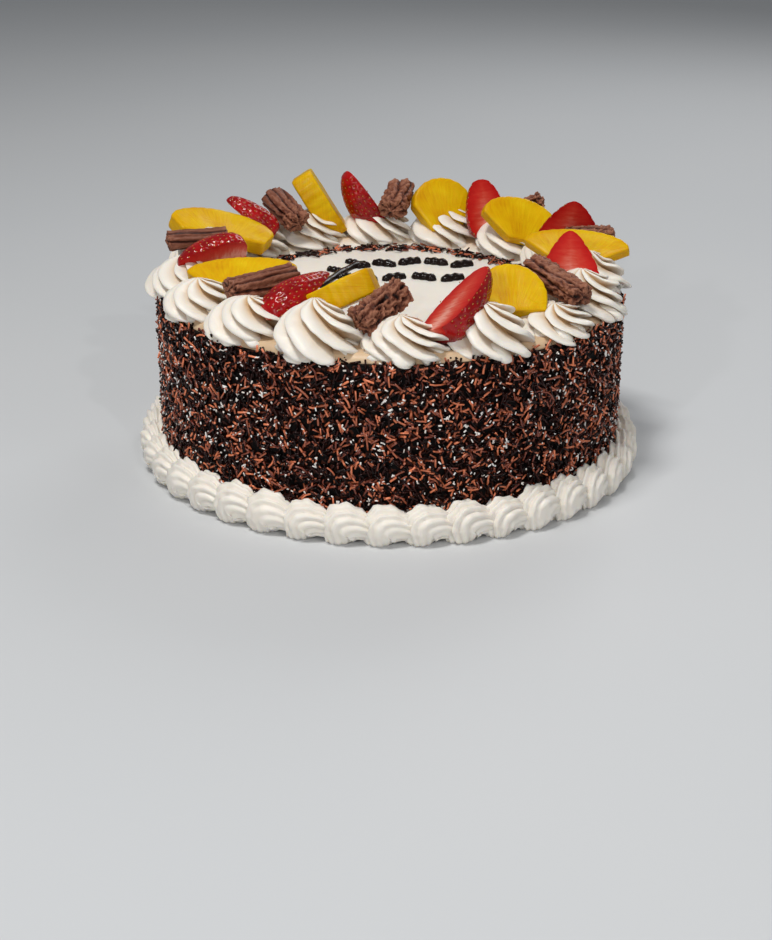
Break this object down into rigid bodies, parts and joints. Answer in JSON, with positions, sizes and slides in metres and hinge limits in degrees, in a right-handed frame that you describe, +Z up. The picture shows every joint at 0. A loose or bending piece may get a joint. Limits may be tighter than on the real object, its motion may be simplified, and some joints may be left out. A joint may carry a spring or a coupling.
{
  "type": "black forest cake",
  "caption": "Round cream gateau coated in chocolate sprinkles, with a shell border round its foot and piped rim swirls topped with pineapple, strawberry and chocolate pieces.",
  "frame": {"origin": "centre of the cake's flat base", "axes": "+Z up along the cake's axis, -Y towards the front of the piped ornament on the top"},
  "size_m": [0.2738, 0.275, 0.1321],
  "materials": {
    "cream": "smooth whipped cream, warm white, satin",
    "chocolate": "dark and milk chocolate sprinkles over cream, satin, with some white sprinkles",
    "milk_chocolate": "crumbly folded milk chocolate, matte",
    "pineapple": "wet golden pineapple flesh with fine radial fibres",
    "strawberry": "glossy red skin with yellow seeds, paler wet flesh on the cut faces"
  },
  "bodies": {
    "root": {"cake": "chocolate", "base_border": "cream", "swirl_01": "cream", "swirl_02": "cream", "swirl_03": "cream", "swirl_04": "cream", "swirl_05": "cream", "swirl_06": "cream", "swirl_07": "cream", "swirl_08": "cream", "swirl_09": "cream", "swirl_10": "cream", "swirl_11": "cream", "swirl_12": "cream", "swirl_13": "cream", "swirl_14": "cream", "swirl_15": "cream", "swirl_16": "cream", "strawberry_1": "strawberry", "strawberry_2": "strawberry", "strawberry_3": "strawberry", "strawberry_4": "strawberry", "strawberry_5": "strawberry", "strawberry_6": "strawberry", "strawberry_7": "strawberry", "strawberry_8": "strawberry", "choc_bar_1": "milk_chocolate", "choc_bar_2": "milk_chocolate", "choc_bar_3": "milk_chocolate", "choc_bar_4": "milk_chocolate", "choc_bar_5": "milk_chocolate", "choc_bar_6": "milk_chocolate", "choc_bar_7": "milk_chocolate", "choc_bar_8": "milk_chocolate", "pineapple_1": "pineapple", "pineapple_2": "pineapple", "pineapple_3": "pineapple", "pineapple_4": "pineapple", "pineapple_5": "pineapple", "pineapple_6": "pineapple", "pineapple_7": "pineapple", "pineapple_8": "pineapple"}
  },
  "joints": []
}
